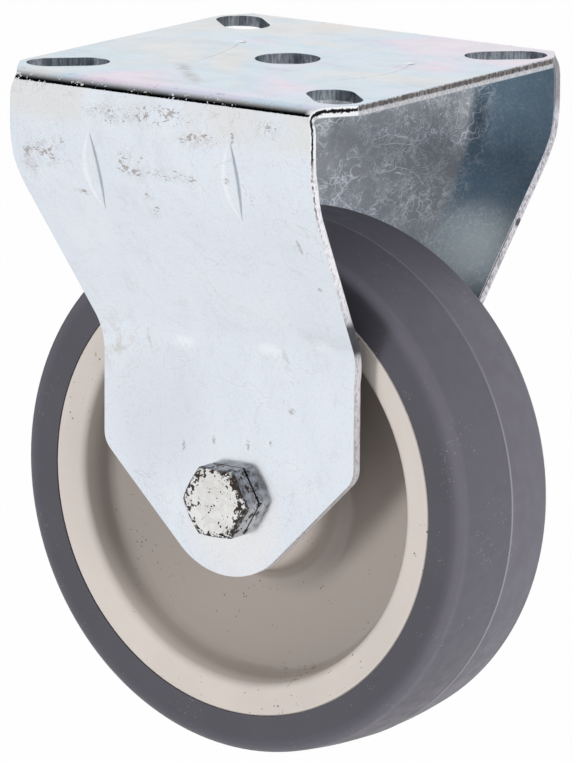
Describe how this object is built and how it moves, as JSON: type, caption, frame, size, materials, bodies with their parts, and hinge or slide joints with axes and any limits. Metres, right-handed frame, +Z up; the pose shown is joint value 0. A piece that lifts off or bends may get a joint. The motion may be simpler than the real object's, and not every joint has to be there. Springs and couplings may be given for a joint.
{
  "type": "fixed castor",
  "caption": "Fixed castor: folded zinc-plated sheet fork with a slotted top plate, and a rubber-tyred plastic wheel on a roller bearing about a hexagon axle bolt.",
  "frame": {"origin": "the point on the floor straight under the middle of the axle, where the tread touches: the bottom centre of the bounding box", "axes": "+Z up towards the top plate; X is the rolling direction; Y is the axle, with the bolt head at -Y and the lock nut at +Y"},
  "size_m": [0.125, 0.099, 0.1601],
  "materials": {
    "zinc": "bright zinc plating, pale blue-white, lightly scuffed",
    "bolt_steel": "zinc plating with rust specks",
    "bearing_steel": "ground steel",
    "nylon": "natural nylon",
    "cage_plastic": "moulded plastic",
    "polypropylene": "satin moulded polypropylene, pale grey-beige",
    "rubber": "grey non-marking thermoplastic rubber"
  },
  "bodies": {
    "fork": {"bracket": "zinc", "axle_bolt": "bolt_steel", "lock_nut": "bolt_steel", "nut_insert": "nylon", "axle_sleeve": "bearing_steel", "thrust_washer_near": "bearing_steel", "thrust_washer_far": "bearing_steel"},
    "wheel": {"wheel_centre": "polypropylene", "tyre": "rubber"},
    "cage": {"roller_cage": "cage_plastic"},
    "roller_a": {"roller_01": "bearing_steel"},
    "roller_b": {"roller_02": "bearing_steel"},
    "roller_c": {"roller_03": "bearing_steel"},
    "roller_d": {"roller_04": "bearing_steel"},
    "roller_e": {"roller_05": "bearing_steel"},
    "roller_f": {"roller_06": "bearing_steel"},
    "roller_g": {"roller_07": "bearing_steel"},
    "roller_h": {"roller_08": "bearing_steel"},
    "roller_i": {"roller_09": "bearing_steel"},
    "roller_j": {"roller_10": "bearing_steel"}
  },
  "joints": [
    {"name": "wheel_spin", "type": "hinge", "parent": "fork", "child": "wheel", "pos_m": [0, 0, 0.0625], "axis": [0, 1, 0], "continuous": true},
    {"name": "cage_spin", "type": "hinge", "parent": "fork", "child": "cage", "pos_m": [0, 0, 0.0625], "axis": [0, 1, 0], "continuous": true},
    {"name": "roller_spin_01", "type": "hinge", "parent": "cage", "child": "roller_a", "pos_m": [0.0098, 0, 0.0625], "axis": [0, 1, 0], "continuous": true},
    {"name": "roller_spin_02", "type": "hinge", "parent": "cage", "child": "roller_b", "pos_m": [0.00793, 0, 0.06826], "axis": [0, 1, 0], "continuous": true},
    {"name": "roller_spin_03", "type": "hinge", "parent": "cage", "child": "roller_c", "pos_m": [0.00303, 0, 0.07182], "axis": [0, 1, 0], "continuous": true},
    {"name": "roller_spin_04", "type": "hinge", "parent": "cage", "child": "roller_d", "pos_m": [-0.00303, 0, 0.07182], "axis": [0, 1, 0], "continuous": true},
    {"name": "roller_spin_05", "type": "hinge", "parent": "cage", "child": "roller_e", "pos_m": [-0.00793, 0, 0.06826], "axis": [0, 1, 0], "continuous": true},
    {"name": "roller_spin_06", "type": "hinge", "parent": "cage", "child": "roller_f", "pos_m": [-0.0098, 0, 0.0625], "axis": [0, 1, 0], "continuous": true},
    {"name": "roller_spin_07", "type": "hinge", "parent": "cage", "child": "roller_g", "pos_m": [-0.00793, 0, 0.05674], "axis": [0, 1, 0], "continuous": true},
    {"name": "roller_spin_08", "type": "hinge", "parent": "cage", "child": "roller_h", "pos_m": [-0.00303, 0, 0.05318], "axis": [0, 1, 0], "continuous": true},
    {"name": "roller_spin_09", "type": "hinge", "parent": "cage", "child": "roller_i", "pos_m": [0.00303, 0, 0.05318], "axis": [0, 1, 0], "continuous": true},
    {"name": "roller_spin_10", "type": "hinge", "parent": "cage", "child": "roller_j", "pos_m": [0.00793, 0, 0.05674], "axis": [0, 1, 0], "continuous": true}
  ],
  "couplings": [
    {"joint": "cage_spin", "follows": "wheel_spin", "ratio": 0.61735},
    {"joint": "roller_spin_01", "follows": "wheel_spin", "ratio": 2.4077},
    {"joint": "roller_spin_02", "follows": "wheel_spin", "ratio": 2.4077},
    {"joint": "roller_spin_03", "follows": "wheel_spin", "ratio": 2.4077},
    {"joint": "roller_spin_04", "follows": "wheel_spin", "ratio": 2.4077},
    {"joint": "roller_spin_05", "follows": "wheel_spin", "ratio": 2.4077},
    {"joint": "roller_spin_06", "follows": "wheel_spin", "ratio": 2.4077},
    {"joint": "roller_spin_07", "follows": "wheel_spin", "ratio": 2.4077},
    {"joint": "roller_spin_08", "follows": "wheel_spin", "ratio": 2.4077},
    {"joint": "roller_spin_09", "follows": "wheel_spin", "ratio": 2.4077},
    {"joint": "roller_spin_10", "follows": "wheel_spin", "ratio": 2.4077}
  ]
}
